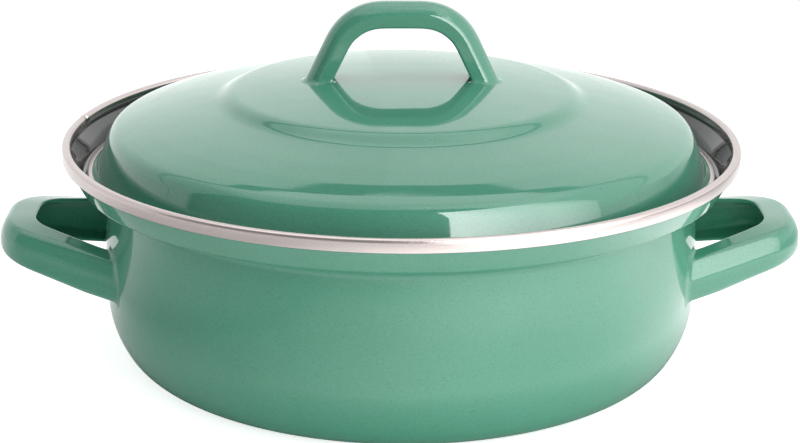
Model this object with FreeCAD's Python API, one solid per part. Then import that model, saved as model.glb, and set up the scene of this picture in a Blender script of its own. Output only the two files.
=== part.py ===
import FreeCAD, Part
import math
import os
from FreeCAD import Vector

# Covered casserole dish, 28 cm class, enamelled steel.  Millimetres, +Z up.
# Origin: centre of the underside of the base.  +X runs along the two side handles.
# Every profile is a list of (radius, height, corner radius) points, joined by
# straight runs and tangent arcs, and turned about the Z axis.

# ---------------------------------------------------------------- dimensions
ENAMEL = 0.25            # thickness of one fired enamel coat
POT_STEEL = 1.0          # deep-drawn body sheet
LID_STEEL = 0.9          # pressed lid sheet

POT_BASE_R = 105.4       # flat standing area
POT_WALL_R = 128.3       # widest part of the wall
POT_NECK_R = 126.7       # waist under the seat band
POT_BAND_R = 143.45      # flared band just under the rim
POT_EDGE_Z = 95.8        # upper edge of the body sheet

RIM_OUT_R = 145.0        # stainless rim profile, outside
RIM_IN_R = 141.3         # stainless rim profile, inside
RIM_LOW_Z = 91.8
RIM_TOP_Z = 97.2
RIM_LIP_Z = 94.2         # lower end of the inner lip
RIM_GROOVE = (142.05, 143.95, 96.15)   # inner wall, outer wall, roof of the groove
RIM_SEAM_DEG = 168.6     # where the two ends of the rolled strip meet
RIM_SEAM_GAP = 0.25

LID_TOP_Z = 122.4        # crown of the raised centre
LID_PLATEAU_R = 73.0
LID_CROWN_R = 490.0      # radius of the crown
LID_SHOULDER_R = 124.3
LID_EDGE_R = 134.0       # edge of the lid's flange
LID_FLANGE_Z = 84.45     # top of the flange
LID_RIM_OUT_R = 134.8
LID_RIM_IN_R = 132.5
LID_RIM_LOW_Z = 82.35
LID_RIM_TOP_Z = 85.15
LID_RIM_SEAM_DEG = 96.0

LID_HANDLE_HALF = 43.2   # outside half-span at the feet
LID_HANDLE_TOP_Z = 155.4
LID_HANDLE_TOP_HALF = 25.0
LID_HANDLE_R = 26.0
LID_HANDLE_W = 16.0      # across the strap
LID_HANDLE_D = 10.3      # depth of the channel
LID_HANDLE_T = 1.6
LID_HANDLE_DROP = 4.5    # fall of the crown from crest to corner
LID_HANDLE_CROWN = 8.6   # radius of the crown
LID_HANDLE_CORNER = 2.2

SIDE_ROOT_X = 113.0      # the legs' crest lines start here, inside the wall
SIDE_TIP_X = 173.15      # outermost point of the crest
SIDE_TIP_Z = 55.75
SIDE_TILT = 10.5         # degrees, tips raised
SIDE_HALF_OUT = 24.6     # half-span at the tip
SIDE_HALF_IN = 49.65     # half-span at the root
SIDE_R = 25.8
SIDE_T = 1.8
# Section of a side handle: depth, then half-heights above and below the crest
# line at the lips and at the corners of the crest.
SIDE_AT_ROOT = (7.5, 9.8, 12.2, 8.0, 10.2)
SIDE_AT_TIP = (14.0, 9.8, 9.2, 7.6, 7.2)
SIDE_DROP = 1.9          # fall of the crown from crest to corner
SIDE_CROWN = 14.0
SIDE_CORNER = 4.0
SIDE_GROW = 0.42         # share of the crest line over which it grows from root to tip

# ---------------------------------------------------------------- profiles
POT_OUT = [
    (0.0, 0.0, 0),
    (115.8, 0.0, 18.7),          # heel of the base
    (127.3, 18.4, 42.0),         # lower wall
    (POT_WALL_R, 48.0, 150.0),
    (POT_NECK_R, 77.8, 4.0),     # waist
    (137.9, 81.6, 3.2),          # underside of the seat for the lid
    (POT_BAND_R, 91.3, 3.0),     # flared band
    (143.75, POT_EDGE_Z, 0),
]

LID_OUT = [
    (0.0, LID_TOP_Z, 0),
    (36.0, LID_TOP_Z, LID_CROWN_R),
    (LID_PLATEAU_R, 117.4, 12.0),  # edge of the raised centre
    (78.6, 113.9, 14.0),           # foot of the step
    (98.0, 110.0, 60.0),
    (109.3, 107.35, 40.0),
    (117.6, 104.84, 25.0),
    (LID_SHOULDER_R, 102.4, 8.5),  # shoulder; the wall flares out below it
    (131.0, LID_FLANGE_Z, 2.6),    # root of the flange
    (LID_EDGE_R, LID_FLANGE_Z, 0),
]


# ---------------------------------------------------------------- helpers
def unit(a, b):
    dx, dz = b[0] - a[0], b[1] - a[1]
    n = math.hypot(dx, dz)
    return dx / n, dz / n


def offset(points, t):
    """Moves every run of a profile sideways by t to the left of its travel."""
    runs = []
    for a, b in zip(points[:-1], points[1:]):
        ux, uz = unit(a, b)
        runs.append((a[0] - uz * t, a[1] + ux * t, ux, uz))
    out = []
    last = len(points) - 1
    for i, p in enumerate(points):
        if i == 0:
            x, z, ux, uz = runs[0]
            if abs(p[0]) < 1e-9:
                k = -x / ux
                out.append((0.0, z + uz * k, 0))
            else:
                out.append((x, z, 0))
        elif i == last:
            x, z, ux, uz = runs[-1]
            out.append((p[0] - uz * t, p[1] + ux * t, 0))
        else:
            x1, z1, ax, az = runs[i - 1]
            x2, z2, bx, bz = runs[i]
            cr = ax * bz - az * bx
            k = ((x2 - x1) * bz - (z2 - z1) * bx) / cr
            r = p[2] - t if cr > 0 else p[2] + t
            out.append((x1 + ax * k, z1 + az * k, r))
    return out


def edges_of(points, place):
    """Straight runs and tangent arcs through a list of (a, b, radius) points."""
    out = []
    cur = points[0]
    for i in range(1, len(points)):
        p = points[i]
        if i < len(points) - 1 and p[2] > 1e-6:
            ux, uz = unit(p, points[i - 1])
            vx, vz = unit(p, points[i + 1])
            ang = math.acos(max(-1.0, min(1.0, ux * vx + uz * vz)))
            d = p[2] / math.tan(ang / 2)
            t1 = (p[0] + ux * d, p[1] + uz * d)
            t2 = (p[0] + vx * d, p[1] + vz * d)
            mx, mz = ux + vx, uz + vz
            n = math.hypot(mx, mz)
            far = p[2] / math.sin(ang / 2) - p[2]
            mid = (p[0] + mx / n * far, p[1] + mz / n * far)
            if math.hypot(t1[0] - cur[0], t1[1] - cur[1]) > 1e-6:
                out.append(Part.LineSegment(place(cur), place(t1)).toShape())
            out.append(Part.Arc(place(t1), place(mid), place(t2)).toShape())
            cur = t2
        else:
            if math.hypot(p[0] - cur[0], p[1] - cur[1]) > 1e-6:
                out.append(Part.LineSegment(place(cur), place(p)).toShape())
            cur = p
    return out


def rz(p):
    return Vector(p[0], 0, p[1])


def face_of(edges):
    return Part.Face(Part.Wire(Part.__sortEdges__(edges)))


def turned(edges):
    return face_of(edges).revolve(Vector(0, 0, 0), Vector(0, 0, 1), 360)


def closed(points):
    """A turned solid from a closed outline; the first point is a plain corner."""
    return turned(edges_of(points + [points[0]], rz))


def layer(points, t1, t2):
    """The sheet of material between two offsets of one profile."""
    a, b = offset(points, t1), offset(points, t2)
    ends = [Part.LineSegment(rz(a[-1]), rz(b[-1])).toShape(),
            Part.LineSegment(rz(a[0]), rz(b[0])).toShape()]
    return turned(edges_of(a, rz) + edges_of(b, rz) + ends)


def filled(points, z):
    """Everything inside a profile, down or up to height z on the axis."""
    end = points[-1]
    edges = edges_of(points, rz)
    if abs(end[1] - z) > 1e-6:
        edges.append(Part.LineSegment(rz(end), rz((end[0], z))).toShape())
    edges.append(Part.LineSegment(rz((end[0], z)), rz((0, z))).toShape())
    edges.append(Part.LineSegment(rz((0, z)), rz(points[0])).toShape())
    return turned(edges)


def seam_cut(ring, r, z0, z1, deg, gap):
    """Opens a rolled ring where the two ends of its strip meet."""
    box = Part.makeBox(16, gap, z1 - z0 + 4, Vector(r - 8, -gap / 2, z0 - 2))
    box.rotate(Vector(0, 0, 0), Vector(0, 0, 1), deg)
    return ring.cut(box)


def crest(half, drop, radius):
    """Height of the apex whose rounding with this radius just touches zero."""
    apex = 0.0
    for _ in range(60):
        apex = radius * (math.hypot(1.0, (apex + drop) / half) - 1.0)
    return apex


def channel(depth, lip_up, lip_down, up, down, drop, crown, corner, t):
    """Outline of a pressed channel: crest at 0, open towards negative n."""
    mid = (up - down) / 2
    apex = crest((up + down) / 2, drop, crown)
    outer = [(-depth, lip_up, 0), (-drop, up, corner), (apex, mid, crown),
             (-drop, -down, corner), (-depth, -lip_down, 0)]
    return outer, offset(outer, -t)


def section_wire(outer, inner, place):
    caps = [Part.LineSegment(place(outer[-1]), place(inner[-1])).toShape(),
            Part.LineSegment(place(inner[0]), place(outer[0])).toShape()]
    return Part.Wire(Part.__sortEdges__(
        edges_of(outer, place) + [caps[0]] + edges_of(inner, place)[::-1] + [caps[1]]))


def swept(path_points, place, profile, n_dir, v_dir):
    """Sweeps one channel along its crest line."""
    start = place(path_points[0])
    section = section_wire(profile[0], profile[1], lambda p: start + n_dir * p[0] + v_dir * p[1])
    path = Part.Wire(edges_of(path_points, place))
    solid = path.makePipeShell([section], True, False)
    return solid, Part.Face(section).Area * path.Length


def stations(path_points, place):
    """Points and outward directions along the crest line, root to root."""
    out = []
    for edge in edges_of(path_points, place):
        straight = edge.Curve.TypeId == "Part::GeomLine"
        n = 4 if straight else 6
        for k in range(n + 1):
            u = edge.FirstParameter + (edge.LastParameter - edge.FirstParameter) * k / n
            if out and k == 0:
                continue
            out.append((edge.valueAt(u), edge.tangentAt(u)))
    return out


def grown(path_points, place):
    """A side handle: its channel is shallow and tall at the roots, deep at the tip."""
    wires = []
    rows = stations(path_points, place)
    length = [0.0]
    for a, b in zip(rows[:-1], rows[1:]):
        length.append(length[-1] + (b[0] - a[0]).Length)
    for (pt, tangent), run in zip(rows, length):
        w = min(run, length[-1] - run) / (length[-1] * SIDE_GROW)
        w = min(1.0, w)
        w = w * w * (3 - 2 * w)
        dims = [a + (b - a) * w for a, b in zip(SIDE_AT_ROOT, SIDE_AT_TIP)]
        outer, inner = channel(*dims, SIDE_DROP, SIDE_CROWN, SIDE_CORNER, SIDE_T)
        n_dir = Vector(tangent.y, -tangent.x, 0)
        wires.append(section_wire(outer, inner, lambda p: pt + n_dir * p[0] + Vector(0, 0, p[1])))
    return Part.makeLoft(wires, True, False)


def one_solid(shape):
    return sorted(shape.Solids, key=lambda q: q.Volume)[-1]


# ---------------------------------------------------------------- pot
nodes = {}

pot_t1 = ENAMEL
pot_t2 = ENAMEL + POT_STEEL
pot_t3 = pot_t2 + ENAMEL

nodes["pot_shell"] = layer(POT_OUT, pot_t1, pot_t2)
nodes["pot_inner_enamel"] = layer(POT_OUT, pot_t2, pot_t3)

# The coloured coat starts at the edge of the standing area; the standing area
# itself carries the dark ground coat.
coat = layer(POT_OUT, 0.0, pot_t1)
core = Part.makeCylinder(POT_BASE_R, 2.0, Vector(0, 0, -1))
nodes["pot_outer_enamel"] = one_solid(coat.cut(core))
nodes["pot_base_enamel"] = Part.makeCylinder(POT_BASE_R, ENAMEL)

g_in, g_out, g_top = RIM_GROOVE
rim = closed([
    (g_out, RIM_LOW_Z, 0),
    (RIM_OUT_R, RIM_LOW_Z, 0.45),
    (RIM_OUT_R, RIM_TOP_Z, 1.5),
    (RIM_IN_R, RIM_TOP_Z, 1.5),
    (RIM_IN_R, RIM_LIP_Z, 0.3),
    (g_in, RIM_LIP_Z, 0),
    (g_in, g_top, 0),
    (g_out, g_top, 0),
])
nodes["pot_rim_trim"] = one_solid(
    seam_cut(rim, 143.0, RIM_LOW_Z, RIM_TOP_Z, RIM_SEAM_DEG, RIM_SEAM_GAP))

# ---------------------------------------------------------------- side handles
pot_block = filled(POT_OUT, POT_EDGE_Z)
side_path = [
    (SIDE_ROOT_X, -SIDE_HALF_IN, 0),
    (SIDE_TIP_X, -SIDE_HALF_OUT, SIDE_R),
    (SIDE_TIP_X, SIDE_HALF_OUT, SIDE_R),
    (SIDE_ROOT_X, SIDE_HALF_IN, 0),
]


def plan(p):
    return Vector(p[0], p[1], SIDE_TIP_Z)


side = grown(side_path, plan)
side.rotate(Vector(SIDE_TIP_X, 0, SIDE_TIP_Z), Vector(0, 1, 0), -SIDE_TILT)
right = one_solid(side.cut(pot_block))
left = right.copy()
left.rotate(Vector(0, 0, 0), Vector(0, 0, 1), 180)
nodes["right_side_handle"] = right
nodes["left_side_handle"] = left

# ---------------------------------------------------------------- lid
lid_t1 = -ENAMEL
lid_t2 = -(ENAMEL + LID_STEEL)
lid_t3 = lid_t2 - ENAMEL
nodes["lid_shell"] = layer(LID_OUT, lid_t1, lid_t2)
nodes["lid_outer_enamel"] = layer(LID_OUT, 0.0, lid_t1)
nodes["lid_inner_enamel"] = layer(LID_OUT, lid_t2, lid_t3)

flange_low = LID_FLANGE_Z + lid_t3
lid_rim = closed([
    (LID_RIM_IN_R, LID_RIM_LOW_Z, 0),
    (LID_RIM_OUT_R, LID_RIM_LOW_Z, 0.8),
    (LID_RIM_OUT_R, LID_RIM_TOP_Z, 0.8),
    (LID_RIM_IN_R, LID_RIM_TOP_Z, 0.3),
    (LID_RIM_IN_R, LID_FLANGE_Z + 0.05, 0),
    (LID_EDGE_R + 0.1, LID_FLANGE_Z + 0.05, 0),
    (LID_EDGE_R + 0.1, flange_low - 0.05, 0),
    (LID_RIM_IN_R, flange_low - 0.05, 0),
])
nodes["lid_rim_trim"] = one_solid(
    seam_cut(lid_rim, 133.5, LID_RIM_LOW_Z, LID_RIM_TOP_Z, LID_RIM_SEAM_DEG, 0.2))

# ---------------------------------------------------------------- lid handle
# the feet end a hair above the coat, so that the two solids never share a face
lid_block = filled(offset(LID_OUT, 0.02), 80.0)
leg_x, leg_z = unit((LID_HANDLE_HALF, 117.8), (LID_HANDLE_TOP_HALF, LID_HANDLE_TOP_Z))
foot = (LID_HANDLE_HALF - leg_x * 6.0, 117.8 - leg_z * 6.0)
arch = [
    (-foot[0], foot[1], 0),
    (-LID_HANDLE_TOP_HALF, LID_HANDLE_TOP_Z, LID_HANDLE_R),
    (LID_HANDLE_TOP_HALF, LID_HANDLE_TOP_Z, LID_HANDLE_R),
    (foot[0], foot[1], 0),
]
ax, az = unit(arch[0], arch[1])
half = LID_HANDLE_W / 2
lid_channel = channel(LID_HANDLE_D, half, half, half, half, LID_HANDLE_DROP,
                      LID_HANDLE_CROWN, LID_HANDLE_CORNER, LID_HANDLE_T)
handle, lid_check = swept(arch, rz, lid_channel, Vector(-az, 0, ax), Vector(0, 1, 0))
nodes["lid_handle"] = one_solid(handle.cut(lid_block))

# ---------------------------------------------------------------- output
os.makedirs("parts", exist_ok=True)
print("side handle %.1f mm3, lid channel %.1f / %.1f" % (side.Volume, handle.Volume, lid_check))
for name in sorted(nodes):
    s = nodes[name]
    b = s.BoundBox
    print("%-20s valid %s solids %d  %9.1f mm3  x %.2f %.2f  y %.2f %.2f  z %.2f %.2f"
          % (name, s.isValid(), len(s.Solids), s.Volume,
             b.XMin, b.XMax, b.YMin, b.YMax, b.ZMin, b.ZMax))
    s.exportStep("parts/%s.step" % name)
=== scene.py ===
import math

import bmesh
import bpy
import numpy as np
from mathutils import Matrix, Vector


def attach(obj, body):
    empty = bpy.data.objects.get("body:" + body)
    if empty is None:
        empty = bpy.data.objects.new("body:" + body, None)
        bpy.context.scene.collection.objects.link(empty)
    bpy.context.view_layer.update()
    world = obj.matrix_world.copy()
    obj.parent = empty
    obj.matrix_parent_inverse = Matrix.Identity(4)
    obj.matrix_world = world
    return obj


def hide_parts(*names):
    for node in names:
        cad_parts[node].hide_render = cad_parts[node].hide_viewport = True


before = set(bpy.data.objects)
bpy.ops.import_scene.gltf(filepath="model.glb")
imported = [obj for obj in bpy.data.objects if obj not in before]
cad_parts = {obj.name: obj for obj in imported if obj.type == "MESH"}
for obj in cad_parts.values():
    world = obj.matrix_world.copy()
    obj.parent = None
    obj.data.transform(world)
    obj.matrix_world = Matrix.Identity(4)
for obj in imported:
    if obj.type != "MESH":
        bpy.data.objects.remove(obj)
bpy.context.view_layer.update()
MM = 0.001

# ------------------------------------------------------------------ camera
# Long lens a little above the rim, looking down on the front of the dish.
ELEV = 0.27528183
DIST = 0.9
FOCAL_PX = 2082.0
ROLL = 0.00753971
TURN = math.radians(1.4)
AIM_UP = math.atan((221.5 - 140.63) / FOCAL_PX)
AIM_SIDE = math.atan((400.9 - 400.0) / FOCAL_PX)
eye = Vector((0.0, -DIST * math.cos(ELEV), DIST * math.sin(ELEV) + 0.094))
pitch, yaw = ELEV + AIM_UP, -AIM_SIDE
fwd = Vector((math.sin(yaw) * math.cos(pitch), math.cos(yaw) * math.cos(pitch), -math.sin(pitch)))
right = Vector((math.cos(yaw), -math.sin(yaw), 0.0))
up = right.cross(fwd)
cr, sr = math.cos(ROLL), math.sin(ROLL)
right, up = cr * right + sr * up, -sr * right + cr * up
cam_data = bpy.data.cameras.new("camera")
cam_data.sensor_fit = "HORIZONTAL"
cam_data.sensor_width = 36.0
cam_data.lens = FOCAL_PX / 800.0 * 36.0
cam_data.clip_start = 0.05
cam_data.clip_end = 50.0
cam = bpy.data.objects.new("camera", cam_data)
bpy.context.scene.collection.objects.link(cam)
m = Matrix.Identity(4)
for i in range(3):
    m[i][0], m[i][1], m[i][2], m[i][3] = right[i], up[i], -fwd[i], eye[i]
# The side handles stand turned a little from the picture plane.
cam.matrix_world = Matrix.Rotation(-TURN, 4, "Z") @ m
bpy.context.scene.camera = cam

# ------------------------------------------------------------------ dimensions, mm
ENAMEL, POT_STEEL, LID_STEEL = 0.25, 1.0, 0.9
POT_OUT = [
    (0.0, 0.0, 0), (115.8, 0.0, 18.7), (127.3, 18.4, 42.0), (128.3, 48.0, 150.0),
    (126.7, 77.8, 4.0), (137.9, 81.6, 3.2), (143.45, 91.3, 3.0), (143.75, 95.8, 0),
]
BASE_R = 105.4
LID_OUT = [
    (0.0, 122.4, 0), (36.0, 122.4, 490.0), (73.0, 117.4, 12.0), (78.6, 113.9, 14.0),
    (98.0, 110.0, 60.0), (109.3, 107.35, 40.0), (117.6, 104.84, 25.0), (124.3, 102.4, 8.5),
    (131.0, 84.45, 2.6), (134.0, 84.45, 0),
]
RIM_SEAM_DEG, LID_SEAM_DEG = 168.6, 96.0
SEG = 288


# ------------------------------------------------------------------ profiles
def unit2(a, b):
    dx, dz = b[0] - a[0], b[1] - a[1]
    n = math.hypot(dx, dz)
    return dx / n, dz / n


def offset(points, t):
    """A profile moved sideways by t to the left of its travel."""
    runs = []
    for a, b in zip(points[:-1], points[1:]):
        ux, uz = unit2(a, b)
        runs.append((a[0] - uz * t, a[1] + ux * t, ux, uz))
    out = []
    last = len(points) - 1
    for i, p in enumerate(points):
        if i == 0:
            x, z, ux, uz = runs[0]
            out.append((0.0, z - uz * x / ux, 0) if abs(p[0]) < 1e-9 else (x, z, 0))
        elif i == last:
            x, z, ux, uz = runs[-1]
            out.append((p[0] - uz * t, p[1] + ux * t, 0))
        else:
            x1, z1, ax, az = runs[i - 1]
            x2, z2, bx, bz = runs[i]
            cr_ = ax * bz - az * bx
            k = ((x2 - x1) * bz - (z2 - z1) * bx) / cr_
            out.append((x1 + ax * k, z1 + az * k, p[2] - t if cr_ > 0 else p[2] + t))
    return out


def curve(points, turn=5.0, step=6.0):
    """Dense points along straight runs and tangent arcs."""
    out = [np.array(points[0][:2], float)]

    def to(q):
        a = out[-1]
        n = max(1, int(np.linalg.norm(q - a) / step + 0.5))
        for k in range(1, n + 1):
            out.append(a + (q - a) * k / n)

    for i in range(1, len(points)):
        p = np.array(points[i][:2], float)
        r = points[i][2] if len(points[i]) > 2 else 0
        if i < len(points) - 1 and r > 1e-6:
            u = np.array(unit2(points[i], points[i - 1]))
            v = np.array(unit2(points[i], points[i + 1]))
            ang = math.acos(max(-1.0, min(1.0, float(u @ v))))
            d = r / math.tan(ang / 2)
            t1, t2 = p + u * d, p + v * d
            c = p + (u + v) / np.linalg.norm(u + v) * r / math.sin(ang / 2)
            a1 = math.atan2(*(t1 - c)[::-1])
            da = (math.atan2(*(t2 - c)[::-1]) - a1 + math.pi) % (2 * math.pi) - math.pi
            if np.linalg.norm(t1 - out[-1]) > 1e-4:
                to(t1)
            n = max(2, int(abs(math.degrees(da)) / turn + 1), int(abs(da) * r / step + 1))
            for k in range(1, n + 1):
                w = a1 + da * k / n
                out.append(c + r * np.array([math.cos(w), math.sin(w)]))
        elif np.linalg.norm(p - out[-1]) > 1e-6:
            to(p)
    return np.array(out)


def resample(loop, step):
    out = [loop[0]]
    for a, b in zip(loop[:-1], loop[1:]):
        n = max(1, int(np.linalg.norm(b - a) / step))
        for k in range(1, n + 1):
            out.append(a + (b - a) * k / n)
    return np.array(out)


# ------------------------------------------------------------------ meshes
def new_mesh(name, verts, faces):
    me = bpy.data.meshes.new(name)
    me.from_pydata([tuple(v) for v in np.asarray(verts) * MM], [], faces)
    me.update()
    me.shade_smooth()
    ob = bpy.data.objects.new(name, me)
    bpy.context.scene.collection.objects.link(ob)
    return ob


def lathe(name, loop, seg=SEG, seam=None, gap=0.0, ends=True):
    """Turns a closed outline (r, z) about the Z axis.  With a seam the ring stays
    open by gap mm at that angle, and its two ends are closed."""
    loop = [np.array(p, float) for p in loop]
    if np.linalg.norm(loop[0] - loop[-1]) < 1e-6:
        loop = loop[:-1]
    n = len(loop)
    area = sum(loop[i][0] * loop[(i + 1) % n][1] - loop[(i + 1) % n][0] * loop[i][1] for i in range(n))
    if area < 0:
        loop = loop[::-1]
    if seam is None:
        angs = [2 * math.pi * k / seg for k in range(seg)]
        wrap = True
    else:
        r0 = max(p[0] for p in loop)
        half = gap / 2 / r0
        s0 = math.radians(seam)
        span = 2 * math.pi - 2 * half
        angs = [s0 + half + span * k / seg for k in range(seg + 1)]
        wrap = False
    verts, index = [], []
    for i, p in enumerate(loop):
        if abs(p[0]) < 1e-6:
            verts.append((0, 0, p[1]))
            index.append([len(verts) - 1] * len(angs))
        else:
            row = []
            for a in angs:
                verts.append((p[0] * math.cos(a), p[0] * math.sin(a), p[1]))
                row.append(len(verts) - 1)
            index.append(row)
    faces = []
    cols = len(angs)
    for i in range(n):
        j = (i + 1) % n
        pa, pb = abs(loop[i][0]) < 1e-6, abs(loop[j][0]) < 1e-6
        if pa and pb:
            continue
        for k in range(cols if wrap else cols - 1):
            q = (k + 1) % cols
            a, b, c, d = index[i][k], index[i][q], index[j][q], index[j][k]
            if pa:
                faces.append((a, c, d))
            elif pb:
                faces.append((a, b, c))
            else:
                faces.append((a, b, c, d))
    if not wrap and ends:
        faces.append(tuple(index[i][0] for i in range(n)))
        faces.append(tuple(index[i][-1] for i in range(n))[::-1])
    return new_mesh(name, verts, faces)


def layer_loop(points, t1, t2, fine=4.0, step=5.0):
    a = curve(offset(points, t1), fine, step)
    b = curve(offset(points, t2), fine, step)
    return np.vstack([a, b[::-1]])


# ------------------------------------------------------------------ the pot
t1, t2 = ENAMEL, ENAMEL + POT_STEEL
t3 = t2 + ENAMEL
pieces = {}

steel = lathe("pot_steel_body", layer_loop(POT_OUT, t1, t2, 8.0, 9.0), seg=SEG)
inner = lathe("pot_dark_lining", layer_loop(POT_OUT, t2, t3, 4.0, 5.0))

outer_line = curve(offset(POT_OUT, 0.0), 3.0, 4.0)
back_line = curve(offset(POT_OUT, t1), 6.0, 6.0)


def from_radius(line, r0):
    """The part of a profile beyond radius r0, starting exactly there."""
    for i in range(1, len(line)):
        if line[i][0] > r0 + 1e-9:
            a, b = line[i - 1], line[i]
            k = (r0 - a[0]) / (b[0] - a[0])
            return np.vstack([a + (b - a) * k, line[i:]])
    return line


coat_loop = np.vstack([from_radius(outer_line, BASE_R), from_radius(back_line, BASE_R)[::-1]])
coat = lathe("pot_green_coat", coat_loop)
base = lathe("pot_base_coat", resample(np.array(
    [(0.0, 0.0), (BASE_R - 0.02, 0.0), (BASE_R - 0.02, ENAMEL), (0.0, ENAMEL)]), 7.0))


def ring_loop(points, turn=12.0):
    pts = points + [points[0]]
    return curve([(p[0], p[1], p[2] if len(p) > 2 else 0) for p in pts], turn, 3.0)


pot_rim = lathe("pot_rim_strip", ring_loop([
    (143.95, 91.8), (145.0, 91.8, 0.45), (145.0, 97.2, 1.5), (141.3, 97.2, 1.5),
    (141.3, 94.2, 0.3), (142.05, 94.2), (142.05, 96.15), (143.95, 96.15)]),
    seg=SEG, seam=RIM_SEAM_DEG, gap=0.3)

# ------------------------------------------------------------------ the lid
l1, l2 = -ENAMEL, -(ENAMEL + LID_STEEL)
l3 = l2 - ENAMEL
lid_steel = lathe("lid_steel_body", layer_loop(LID_OUT, l1, l2, 8.0, 9.0))
lid_coat = lathe("lid_green_coat", layer_loop(LID_OUT, 0.0, l1, 3.0, 4.0))
lid_lining = lathe("lid_dark_lining", layer_loop(LID_OUT, l2, l3, 4.0, 5.0))
f_low = 84.45 + l3
lid_rim = lathe("lid_rim_strip", ring_loop([
    (132.5, 82.35, 0.3), (134.8, 82.35, 0.8), (134.8, 85.15, 0.8), (132.5, 85.15, 0.3),
    (132.5, 84.5), (134.1, 84.5), (134.1, f_low - 0.05), (132.5, f_low - 0.05)]),
    seg=SEG, seam=LID_SEAM_DEG, gap=0.2)


# ------------------------------------------------------------------ handles
def channel_section(dims, drop, crown, corner, t, count=72):
    """Closed loop of (n, v, normal n, normal v) round a pressed channel with
    rounded lips, plus the index pairs that close its two cut ends."""
    depth, lip_up, lip_down, up, down = dims
    apex = 0.0
    for _ in range(60):
        apex = crown * (math.hypot(1.0, (apex + drop) / ((up + down) / 2)) - 1.0)
    outer = [(-depth, lip_up, 0), (-drop, up, corner), (apex, (up - down) / 2, crown),
             (-drop, -down, corner), (-depth, -lip_down, 0)]
    for i, j in ((0, 1), (-1, -2)):
        u = unit2(outer[i], outer[j])
        outer[i] = (outer[i][0] + u[0] * t / 2, outer[i][1] + u[1] * t / 2, 0)
    c = curve(offset(outer, -t / 2), 3.0, 0.4)
    run = np.r_[0, np.cumsum(np.linalg.norm(np.diff(c, axis=0), axis=1))]
    even = np.linspace(0, run[-1], count)
    c = np.c_[np.interp(even, run, c[:, 0]), np.interp(even, run, c[:, 1])]
    tang = np.gradient(c, axis=0)
    tang /= np.linalg.norm(tang, axis=1)[:, None]
    nrm = np.c_[-tang[:, 1], tang[:, 0]]
    if nrm[len(nrm) // 2][0] < 0:
        nrm = -nrm
    n = len(c)
    loop = [(c[i] + nrm[i] * t / 2, nrm[i]) for i in range(n)]
    k = 7

    def lip(i, sgn):
        a0 = math.atan2(nrm[i][1], nrm[i][0])
        return [(c[i] + t / 2 * np.array([math.cos(a0 + sgn * math.pi * q / k), math.sin(a0 + sgn * math.pi * q / k)]),
                 np.array([math.cos(a0 + sgn * math.pi * q / k), math.sin(a0 + sgn * math.pi * q / k)]))
                for q in range(1, k)]

    out_dir = tang[-1]
    a0 = math.atan2(nrm[-1][1], nrm[-1][0])
    test = np.array([math.cos(a0 + 0.3), math.sin(a0 + 0.3)])
    sgn = 1 if test @ out_dir > 0 else -1
    loop += lip(n - 1, sgn)
    loop += [(c[i] - nrm[i] * t / 2, -nrm[i]) for i in range(n - 1, -1, -1)]
    a0 = math.atan2(-nrm[0][1], -nrm[0][0])
    test = np.array([math.cos(a0 + 0.3), math.sin(a0 + 0.3)])
    sgn = 1 if test @ -tang[0] > 0 else -1
    loop += [(c[0] + t / 2 * np.array([math.cos(a0 + sgn * math.pi * q / k), math.sin(a0 + sgn * math.pi * q / k)]),
              np.array([math.cos(a0 + sgn * math.pi * q / k), math.sin(a0 + sgn * math.pi * q / k)]))
             for q in range(1, k)]
    return loop, n, k - 1


def smooth_path(points, step=1.6, sigma=3.0):
    """Even points along a filleted polyline, with its corners eased."""
    c = curve(points, 2.0, 0.4)
    s = np.r_[0, np.cumsum(np.linalg.norm(np.diff(c, axis=0), axis=1))]
    n = int(s[-1] / 0.5)
    u = np.linspace(0, s[-1], n + 1)
    c = np.c_[np.interp(u, s, c[:, 0]), np.interp(u, s, c[:, 1])]
    w = int(3 * sigma / 0.5)
    kern = np.exp(-0.5 * (np.arange(-w, w + 1) * 0.5 / sigma) ** 2)
    kern /= kern.sum()
    pad = np.vstack([c[0] + (c[0] - c[1]) * np.arange(w, 0, -1)[:, None], c,
                     c[-1] + (c[-1] - c[-2]) * np.arange(1, w + 1)[:, None]])
    c = np.c_[np.convolve(pad[:, 0], kern, "valid"), np.convolve(pad[:, 1], kern, "valid")]
    keep = max(1, int(step / 0.5))
    return c[::keep] if (len(c) - 1) % keep == 0 else np.vstack([c[::keep], c[-1]])


def wall_radius(z):
    return np.interp(z, POT_WALL[:, 1], POT_WALL[:, 0])


POT_WALL = outer_line[outer_line[:, 0] > 106.0]
LID_TOP = curve(offset(LID_OUT, 0.0), 3.0, 2.0)
LID_TOP = LID_TOP[LID_TOP[:, 0] < 120.0]


def pot_gap(p):
    """Distance from a point to the pot's wall, positive outside."""
    return math.hypot(p[0], p[1]) - wall_radius(p[2])


def lid_gap(p):
    return p[2] - np.interp(math.hypot(p[0], p[1]), LID_TOP[:, 0], LID_TOP[:, 1])


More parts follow.
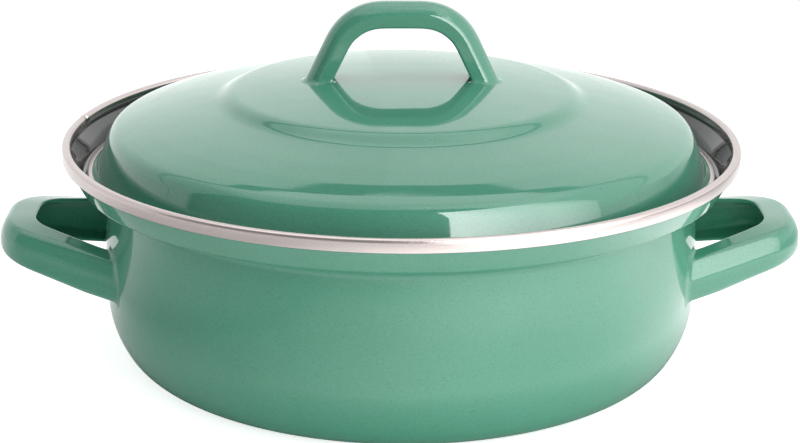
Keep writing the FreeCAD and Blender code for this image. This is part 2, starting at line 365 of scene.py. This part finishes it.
def handle_mesh(name, path, lift, v_dir, section, gap_of, fillet, rows=16):
    """Sweeps a channel section along a planar path and lets its two feet run out
    on a surface with a small fired fillet all round."""
    run = np.r_[0, np.cumsum(np.linalg.norm(np.diff(path, axis=0), axis=1))]
    made = [section(min(q, run[-1] - q) / run[-1]) for q in run]
    n_mid, n_lip = made[0][1], made[0][2]
    tang = np.gradient(path, axis=0)
    tang /= np.linalg.norm(tang, axis=1)[:, None]
    out = np.c_[-tang[:, 1], tang[:, 0]]
    mid = len(path) // 2
    if lift(path[mid] + out[mid]) @ np.array(NEAR[name]) < lift(path[mid]) @ np.array(NEAR[name]):
        out = -out
    P = np.array([lift(p) for p in path])
    O = np.array([lift(p + o) - lift(p) for p, o in zip(path, out)])
    V = np.array(v_dir, float)
    L = len(made[0][0])
    sec = np.array([[s[0] for s in m[0]] for m in made])
    nor = np.array([[s[1] for s in m[0]] for m in made])
    grid = P[:, None, :] + sec[:, :, 0:1] * O[:, None, :] + sec[:, :, 1:2] * V
    gaps = np.array([[gap_of(grid[j, k]) for k in range(L)] for j in range(len(P))])
    clear = [j for j in range(len(P)) if gaps[j].min() > fillet + 1.5]
    j0, j1 = clear[0], clear[-1]

    def foot(j, step):
        """Rows from station j to the surface; step is -1 or +1 along the path."""
        d = P[j + step] - P[j]
        d /= np.linalg.norm(d)
        res = []
        nn = nor[j][:, 0:1] * O[j] + nor[j][:, 1:2] * V
        length = []
        for k in range(L):
            lo, hi = 0.0, 60.0
            x = grid[j, k]
            for _ in range(40):
                md = (lo + hi) / 2
                if gap_of(x + d * md) > 0:
                    lo = md
                else:
                    hi = md
            length.append((lo + hi) / 2)
        for m_ in range(1, rows + 1):
            row = []
            f = m_ / rows
            for k in range(L):
                s = length[k] * (1 - f) ** 1.7
                e = 0.0
                if s < fillet:
                    e = fillet - math.sqrt(max(0.0, fillet ** 2 - (fillet - s) ** 2))
                x = grid[j, k] + nn[k] * e
                lo, hi = -10.0, 70.0
                for _ in range(36):
                    md = (lo + hi) / 2
                    if gap_of(x + d * md) > 0:
                        lo = md
                    else:
                        hi = md
                row.append(x + d * ((lo + hi) / 2 - s + (0.12 if m_ == rows else 0.0)))
            res.append(row)
        return res

    head = foot(j0, -1)[::-1]
    tail = foot(j1, +1)
    rows_all = head + [list(grid[j]) for j in range(j0, j1 + 1)] + tail
    verts = [v for row in rows_all for v in row]
    faces = []
    R = len(rows_all)
    for j in range(R - 1):
        for k in range(L):
            q = (k + 1) % L
            faces.append((j * L + k, j * L + q, (j + 1) * L + q, (j + 1) * L + k))
    # cut ends: outer point i pairs with inner point i, lips close as fans
    inner0 = n_mid + n_lip
    for base_i, flip in ((0, False), ((R - 1) * L, True)):
        caps = []
        for i in range(n_mid - 1):
            a, b = i, i + 1
            c, d_ = inner0 + (n_mid - 1 - (i + 1)), inner0 + (n_mid - 1 - i)
            caps.append((base_i + a, base_i + d_, base_i + c, base_i + b))
        caps.append(tuple(base_i + (n_mid - 1 + q) for q in range(n_lip + 2))[::-1])
        caps.append(tuple(base_i + ((inner0 + n_mid - 1 + q) % L) for q in range(n_lip + 2))[::-1])
        faces += [f[::-1] if flip else f for f in caps]
    ob = new_mesh(name, verts, faces)
    bm = bmesh.new()
    bm.from_mesh(ob.data)
    bmesh.ops.recalc_face_normals(bm, faces=bm.faces)
    bm.to_mesh(ob.data)
    bm.free()
    ob.data.shade_smooth()
    return ob


TIP_X, TIP_Z, TILT = 173.15, 55.75, math.radians(10.5)
NEAR = {"side_handle_right": (1, 0, 0), "side_handle_left": (-1, 0, 0), "lid_arch_handle": (0, 0, 1)}


def lift_right(p):
    x, y = p
    dx = x - TIP_X
    return np.array([TIP_X + dx * math.cos(TILT), y, TIP_Z + dx * math.sin(TILT)])


def lift_left(p):
    q = lift_right(p)
    return np.array([-q[0], -q[1], q[2]])


AT_ROOT = (7.5, 9.8, 12.2, 8.0, 10.2)
AT_TIP = (14.0, 9.8, 9.2, 7.6, 7.2)


def side_section(share):
    w = min(1.0, share / 0.42)
    w = w * w * (3 - 2 * w)
    return channel_section([a + (b - a) * w for a, b in zip(AT_ROOT, AT_TIP)], 1.9, 14.0, 4.0, 1.8)


side_pts = [(113.0, -49.65, 0), (TIP_X, -24.6, 25.8), (TIP_X, 24.6, 25.8), (113.0, 49.65, 0)]
side_path = smooth_path(side_pts)
side_r = handle_mesh("side_handle_right", side_path, lift_right,
                     (-math.sin(TILT), 0, math.cos(TILT)), side_section, pot_gap, 2.2)
side_l = handle_mesh("side_handle_left", side_path, lift_left,
                     (math.sin(TILT), 0, math.cos(TILT)), side_section, pot_gap, 2.2)

lx, lz = unit2((43.2, 117.8), (25.0, 155.4))
foot_pt = (43.2 - lx * 6.0, 117.8 - lz * 6.0)
arch_pts = [(-foot_pt[0], foot_pt[1], 0), (-25.0, 155.4, 26.0), (25.0, 155.4, 26.0), (foot_pt[0], foot_pt[1], 0)]
lid_section = channel_section((10.3, 8.0, 8.0, 8.0, 8.0), 4.5, 8.6, 2.2, 1.6)
arch = handle_mesh("lid_arch_handle", smooth_path(arch_pts), lambda p: np.array([p[0], 0.0, p[1]]),
                   (0, 1, 0), lambda share: lid_section, lid_gap, 1.8)


# ------------------------------------------------------------------ materials
def nodes_of(name):
    mat = bpy.data.materials.new(name)
    mat.use_nodes = True
    nt = mat.node_tree
    bsdf = nt.nodes["Principled BSDF"]
    return mat, nt, bsdf


def link(nt, a, b):
    nt.links.new(a, b)


def noise(nt, vec, scale, detail=2.0, rough=0.5):
    n = nt.nodes.new("ShaderNodeTexNoise")
    n.inputs["Scale"].default_value = scale
    n.inputs["Detail"].default_value = detail
    n.inputs["Roughness"].default_value = rough
    link(nt, vec, n.inputs["Vector"])
    return n.outputs["Fac"]


def remap(nt, fac, a, b, lo=0.3, hi=0.7):
    r = nt.nodes.new("ShaderNodeMapRange")
    r.inputs["From Min"].default_value = lo
    r.inputs["From Max"].default_value = hi
    r.inputs["To Min"].default_value = a
    r.inputs["To Max"].default_value = b
    link(nt, fac, r.inputs["Value"])
    return r.outputs["Result"]


def mix(nt, fac, a, b):
    x = nt.nodes.new("ShaderNodeMix")
    x.data_type = "RGBA"
    if isinstance(fac, float):
        x.inputs["Factor"].default_value = fac
    else:
        link(nt, fac, x.inputs["Factor"])
    for sock, v in (("A", a), ("B", b)):
        s = [i for i in x.inputs if i.name == sock and i.type == "RGBA"][0]
        if isinstance(v, tuple):
            s.default_value = v
        else:
            link(nt, v, s)
    return [o for o in x.outputs if o.type == "RGBA"][0]


def bump(nt, height, strength, distance, normal=None):
    b = nt.nodes.new("ShaderNodeBump")
    b.inputs["Strength"].default_value = strength
    b.inputs["Distance"].default_value = distance
    link(nt, height, b.inputs["Height"])
    if normal is not None:
        link(nt, normal, b.inputs["Normal"])
    return b.outputs["Normal"]


def enamel(name, base, light, dark, speck=0.6, rough=(0.46, 0.54), spec=0.1):
    """Fired enamel: a grained ground under a clear glossy top."""
    mat, nt, bsdf = nodes_of(name)
    tc = nt.nodes.new("ShaderNodeTexCoord").outputs["Object"]
    cloud = noise(nt, tc, 22.0, 3.0)
    fine = noise(nt, tc, 1500.0, 2.0, 0.7)
    c1 = mix(nt, remap(nt, cloud, 0.15, 0.55, 0.3, 0.7), base, light)
    c2 = mix(nt, remap(nt, fine, 0.0, speck, 0.56, 0.74), c1, light)
    c3 = mix(nt, remap(nt, fine, speck, 0.0, 0.26, 0.44), c2, dark)
    link(nt, c3, bsdf.inputs["Base Color"])
    link(nt, remap(nt, noise(nt, tc, 70.0, 4.0), rough[0], rough[1]), bsdf.inputs["Roughness"])
    bsdf.inputs["IOR"].default_value = 1.5
    bsdf.inputs["Specular IOR Level"].default_value = spec
    bsdf.inputs["Coat Weight"].default_value = 1.0
    bsdf.inputs["Coat Roughness"].default_value = 0.045
    bsdf.inputs["Coat IOR"].default_value = 1.5
    wave = bump(nt, noise(nt, tc, 38.0, 1.0), 0.22, 0.0005)
    peel = bump(nt, noise(nt, tc, 480.0, 2.0), 0.25, 0.00002, wave)
    link(nt, peel, bsdf.inputs["Coat Normal"])
    link(nt, bump(nt, fine, 0.35, 0.00006, wave), bsdf.inputs["Normal"])
    return mat


GREEN = enamel("green_enamel", (0.046, 0.233, 0.147, 1), (0.068, 0.292, 0.193, 1), (0.027, 0.170, 0.100, 1), speck=0.9)
DARK = enamel("dark_enamel", (0.012, 0.012, 0.013, 1), (0.022, 0.022, 0.024, 1), (0.006, 0.006, 0.007, 1),
              rough=(0.5, 0.6), spec=0.15)


def stainless(name, colour, rough=(0.2, 0.28), lines=0.5):
    mat, nt, bsdf = nodes_of(name)
    tc = nt.nodes.new("ShaderNodeTexCoord").outputs["Object"]
    sep = nt.nodes.new("ShaderNodeSeparateXYZ")
    link(nt, tc, sep.inputs[0])

    def math_node(op, a, b=None):
        q = nt.nodes.new("ShaderNodeMath")
        q.operation = op
        for i, v in enumerate((a, b)):
            if v is None:
                continue
            if isinstance(v, float):
                q.inputs[i].default_value = v
            else:
                link(nt, v, q.inputs[i])
        return q.outputs[0]

    x, y, z = sep.outputs
    rad = math_node("SQRT", math_node("ADD", math_node("MULTIPLY", x, x), math_node("MULTIPLY", y, y)))
    cx = math_node("MULTIPLY", math_node("DIVIDE", x, rad), 0.012)
    cy = math_node("MULTIPLY", math_node("DIVIDE", y, rad), 0.012)
    comb = nt.nodes.new("ShaderNodeCombineXYZ")
    link(nt, math_node("ADD", math_node("MULTIPLY", rad, 3.0), cx), comb.inputs[0])
    link(nt, math_node("ADD", math_node("MULTIPLY", z, 3.0), cy), comb.inputs[1])
    link(nt, cx, comb.inputs[2])
    grain = noise(nt, comb.outputs[0], 1400.0, 4.0, 0.65)
    broad = noise(nt, tc, 9.0, 2.0)
    c = mix(nt, remap(nt, grain, 0.0, 1.0, 0.3, 0.7), colour, tuple(v * 0.86 for v in colour[:3]) + (1,))
    c = mix(nt, remap(nt, broad, 0.0, 0.5), c, (colour[0] * 1.02, colour[1] * 0.97, colour[2] * 0.95, 1))
    link(nt, c, bsdf.inputs["Base Color"])
    bsdf.inputs["Metallic"].default_value = 1.0
    link(nt, remap(nt, grain, rough[0], rough[1]), bsdf.inputs["Roughness"])
    bsdf.inputs["Anisotropic"].default_value = 0.15
    tan = nt.nodes.new("ShaderNodeTangent")
    tan.direction_type = "RADIAL"
    tan.axis = "Z"
    link(nt, tan.outputs[0], bsdf.inputs["Tangent"])
    link(nt, bump(nt, grain, 0.3, 0.00002), bsdf.inputs["Normal"])
    return mat


TRIM = stainless("satin_stainless", (0.455, 0.41, 0.398, 1))
SHEET = stainless("drawn_steel", (0.52, 0.52, 0.53, 1), rough=(0.35, 0.5))

table = [
    (coat, "pot", "pot_outer_enamel", "green_enamel", GREEN),
    (inner, "pot", "pot_inner_enamel", "dark_enamel", DARK),
    (base, "pot", "pot_base_enamel", "dark_enamel", DARK),
    (steel, "pot", "pot_shell", "deep_drawn_steel", SHEET),
    (pot_rim, "pot", "pot_rim_trim", "stainless_trim", TRIM),
    (side_r, "pot", "right_side_handle", "green_enamelled_steel", GREEN),
    (side_l, "pot", "left_side_handle", "green_enamelled_steel", GREEN),
    (lid_coat, "lid", "lid_outer_enamel", "green_enamel", GREEN),
    (lid_lining, "lid", "lid_inner_enamel", "dark_enamel", DARK),
    (lid_steel, "lid", "lid_shell", "deep_drawn_steel", SHEET),
    (lid_rim, "lid", "lid_rim_trim", "stainless_trim", TRIM),
    (arch, "lid", "lid_handle", "green_enamelled_steel", GREEN),
]
for piece, body, node, slot, mat in table:
    piece.data.materials.append(mat)
    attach(piece, body)
    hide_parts(node)

# ------------------------------------------------------------------ stage and light
# A white table top that ends a little way in front of the dish, lit softly from
# below as well, so that the ground stays pale.
floor_me = bpy.data.meshes.new("floor")
N, R = 128, 0.60
fv = [(R * math.cos(2 * math.pi * k / N), R * math.sin(2 * math.pi * k / N), -0.0003) for k in range(N)]
floor_me.from_pydata(fv, [], [tuple(range(N))])
floor = bpy.data.objects.new("floor", floor_me)
bpy.context.scene.collection.objects.link(floor)
fmat, fnt, fb = nodes_of("floor_paper")
ftc = fnt.nodes.new("ShaderNodeTexCoord").outputs["Object"]
flp = fnt.nodes.new("ShaderNodeLightPath").outputs
paper = mix(fnt, remap(fnt, noise(fnt, ftc, 3.0, 3.0), 0.0, 1.0), (0.86, 0.86, 0.86, 1), (0.84, 0.84, 0.845, 1))
# Painted shade: in reflections the floor takes a darker grey than the paper's own colour.
link(fnt, mix(fnt, flp["Is Glossy Ray"], paper, (0.5, 0.5, 0.5, 1)), fb.inputs["Base Color"])
fb.inputs["Roughness"].default_value = 0.9
fb.inputs["Specular IOR Level"].default_value = 0.1
fb.inputs["Emission Color"].default_value = (1.0, 1.0, 1.0, 1)
fsep = fnt.nodes.new("ShaderNodeSeparateXYZ")
link(fnt, ftc, fsep.inputs[0])


def fmath(op, a, b):
    q = fnt.nodes.new("ShaderNodeMath")
    q.operation = op
    for i, v in enumerate((a, b)):
        if isinstance(v, float):
            q.inputs[i].default_value = v
        else:
            link(fnt, v, q.inputs[i])
    return q.outputs[0]


# Painted light on the floor: the camera sees a flat extra glow that makes the paper paler; in the gloss of the coat a
# painted glow, brighter on the right and away from the dish and fading to painted shade close to it, stands in for
# paper under a big side light.
fx, fy = fsep.outputs[0], fsep.outputs[1]
frad = fmath("SQRT", fmath("ADD", fmath("MULTIPLY", fx, fx), fmath("MULTIPLY", fy, fy)), 0.0)
near = fmath("MULTIPLY", remap(fnt, frad, 0.0, 1.0, 0.12, 0.175), remap(fnt, fx, 0.05, 1.9, -0.2, 0.0))
wide = fmath("ADD", remap(fnt, fx, 0.5, 0.0, -0.16, 0.0), remap(fnt, fx, 0.0, 0.85, 0.0, 0.2))
wide = fmath("MULTIPLY", remap(fnt, frad, 0.0, 1.0, 0.2, 0.34), wide)
far = remap(fnt, frad, 1.0, 0.32, 0.38, 0.47)
side = fmath("MULTIPLY", remap(fnt, fx, 0.0, 1.0, 0.05, 0.15), remap(fnt, fy, 0.0, 0.6, -0.06, 0.1))
far = fmath("MULTIPLY", far, fmath("SUBTRACT", 1.0, side))
left = fmath("MULTIPLY", remap(fnt, fx, 0.5, 0.0, -0.2, 0.0), remap(fnt, fy, 0.0, 1.0, -0.05, 0.1))
left = fmath("ADD", left, fmath("MULTIPLY", remap(fnt, fx, 1.0, 0.0, -0.1, 0.1), remap(fnt, frad, 0.0, 1.0, 0.46, 0.5)))
painted_glow = fmath("ADD", fmath("MULTIPLY", fmath("ADD", near, wide), far), fmath("ADD", left, -0.30))
# The painted glow is seen only by glossy rays; the camera gets a flat extra 0.45.
painted_glow = fmath("MULTIPLY", flp["Is Glossy Ray"], painted_glow)
painted_glow = fmath("ADD", painted_glow, fmath("MULTIPLY", flp["Is Camera Ray"], 0.45))
link(fnt, fmath("ADD", painted_glow, 0.30), fb.inputs["Emission Strength"])
floor_me.materials.append(fmat)

scene = bpy.context.scene
scene.view_settings.view_transform = "Standard"
scene.view_settings.look = "None"


def panel(name, az, el, dist, size, size_y, radiance, diffuse=True, glossy=True, aim=(0, 0, 0.09),
          upright=False):
    """A flat soft panel seen from the dish at azimuth az (0 is the front, positive
    to the right) and elevation el, both in degrees."""
    a, e = math.radians(az), math.radians(el)
    d = bpy.data.lights.new(name, "AREA")
    d.shape = "RECTANGLE"
    d.size = size
    d.size_y = size_y
    d.energy = radiance * math.pi * size * size_y
    o = bpy.data.objects.new(name, d)
    bpy.context.scene.collection.objects.link(o)
    o.location = Vector(aim) + dist * Vector((math.sin(a) * math.cos(e), -math.cos(a) * math.cos(e), math.sin(e)))
    look = Vector(aim) - o.location
    if upright:
        look.z = 0.0
    o.rotation_euler = look.to_track_quat("-Z", "Y").to_euler()
    o.visible_camera = False
    o.visible_diffuse = diffuse
    o.visible_glossy = glossy
    return o


shine = panel("softbox_shine", 45.0, 35.8, 1.479, 1.33, 2.11, 7.2, diffuse=False, upright=True)
# The box is brightest along its edge nearest the camera and falls off to the right.
shine.data.use_nodes = True
snt = shine.data.node_tree
spos = snt.nodes.new("ShaderNodeNewGeometry").outputs["Position"]
sdot = snt.nodes.new("ShaderNodeVectorMath")
sdot.operation = "DOT_PRODUCT"
sdot.inputs[1].default_value = (0.7071, 0.7071, 0.0)
snt.links.new(spos, sdot.inputs[0])
sfall = snt.nodes.new("ShaderNodeMapRange")
for key, val in (("From Min", -0.55), ("From Max", 0.665), ("To Min", 1.66), ("To Max", 0.25)):
    sfall.inputs[key].default_value = val
snt.links.new(sdot.outputs["Value"], sfall.inputs["Value"])
semit = [q for q in snt.nodes if q.type == "EMISSION"][0]
snt.links.new(sfall.outputs["Result"], semit.inputs["Strength"])
panel("softbox_key", 29.0, 20.0, 1.5, 1.73, 1.30, 2.45, glossy=False)
panel("overhead_fill", 0.0, 88.0, 1.6, 1.6, 1.6, 0.25, glossy=False)

# The walls of the light tent: pale at the back and sides, brighter overhead, an
# open dark front for the camera, and a dark joint between back and roof.
world = bpy.data.worlds.new("studio")
scene.world = world
world.use_nodes = True
wn = world.node_tree
bg = wn.nodes["Background"]


def wmath(op, *args):
    q = wn.nodes.new("ShaderNodeMath")
    q.operation = op
    for i, v in enumerate(args):
        if isinstance(v, (int, float)):
            q.inputs[i].default_value = float(v)
        else:
            wn.links.new(v, q.inputs[i])
    return q.outputs[0]


def ramp(v, a, b, lo=0.0, hi=1.0):
    r = wn.nodes.new("ShaderNodeMapRange")
    r.interpolation_type = "SMOOTHSTEP"
    wn.links.new(v, r.inputs["Value"])
    for key, val in (("From Min", a), ("From Max", b), ("To Min", lo), ("To Max", hi)):
        if isinstance(val, (int, float)):
            r.inputs[key].default_value = float(val)
        else:
            wn.links.new(val, r.inputs[key])
    return r.outputs["Result"]


def blend(a, b, t):
    return wmath("ADD", wmath("MULTIPLY", a, wmath("SUBTRACT", 1.0, t)), wmath("MULTIPLY", b, t))


wtc = wn.nodes.new("ShaderNodeTexCoord").outputs["Generated"]
wsep = wn.nodes.new("ShaderNodeSeparateXYZ")
wn.links.new(wtc, wsep.inputs[0])
wx, wy, wz = wsep.outputs
AZ = wmath("MULTIPLY", wmath("ARCTAN2", wx, wmath("MULTIPLY", wy, -1.0)), 57.29578)
EL = wmath("MULTIPLY", wmath("ARCSINE", wz), 57.29578)
AAZ = wmath("ABSOLUTE", AZ)

PSI = wmath("MULTIPLY", wmath("ARCTAN2", wz, wy), 57.29578)

walls = ramp(EL, 12.0, 38.0, 1.38, wmath("MULTIPLY", ramp(AZ, -150.0, -100.0, 1.0, 0.78), 1.48))
walls = blend(walls, ramp(EL, 2.0, 10.0, 0.9, 1.95), ramp(AZ, 10.0, 60.0))
walls = blend(walls, ramp(EL, 5.0, 35.0, 1.25, 1.6), ramp(AZ, 100.0, 160.0))
roof = ramp(AZ, -40.0, 80.0, 2.1, 2.9)
roof = blend(roof, 2.3, ramp(AAZ, 120.0, 150.0))
back = ramp(AAZ, 140.0, 165.0)
tent = blend(walls, roof, blend(ramp(EL, 48.0, 60.0), ramp(PSI, 50.5, 53.0), back))
joint = wmath("MULTIPLY", ramp(PSI, 47.2, 48.0), ramp(PSI, 51.0, 52.0, 1.0, 0.0))
joint = wmath("MULTIPLY", joint, ramp(AAZ, 120.0, 165.0, 0.45, 1.0))
joint = wmath("MULTIPLY", joint, ramp(AAZ, 88.0, 92.0))
tent = blend(tent, 0.12, joint)
edge_el = wmath("SUBTRACT", 76.0, wmath("MULTIPLY", 0.0026, wmath("POWER", wmath("ABSOLUTE", wmath("SUBTRACT", AZ, 12.0)), 2.0)))
front = wmath("MULTIPLY", ramp(AZ, -89.0, -86.0), ramp(AZ, 48.0, 62.0, 1.0, 0.0))
front = wmath("MULTIPLY", front, ramp(wmath("SUBTRACT", EL, edge_el), -3.0, 3.0, 1.0, 0.0))
gloom = blend(0.42, 0.3, ramp(AZ, -84.0, -80.0, 1.0, 0.0))
gloom = blend(gloom, 0.38, ramp(AZ, -14.0, -11.0))
gloom = blend(gloom, 0.35, ramp(AZ, 10.0, 50.0))
gloom = blend(0.85, gloom, ramp(EL, 3.0, 11.0))
tent = blend(tent, gloom, front)
lp = wn.nodes.new("ShaderNodeLightPath")
soft = wmath("MULTIPLY", tent, ramp(lp.outputs["Is Diffuse Ray"], 0.0, 1.0, 1.0, ramp(EL, 30.0, 60.0, 0.47, 0.36)))
power = blend(soft, 1.0, lp.outputs["Is Camera Ray"])
bg.inputs["Color"].default_value = (1, 1, 1, 1)
wn.links.new(power, bg.inputs["Strength"])
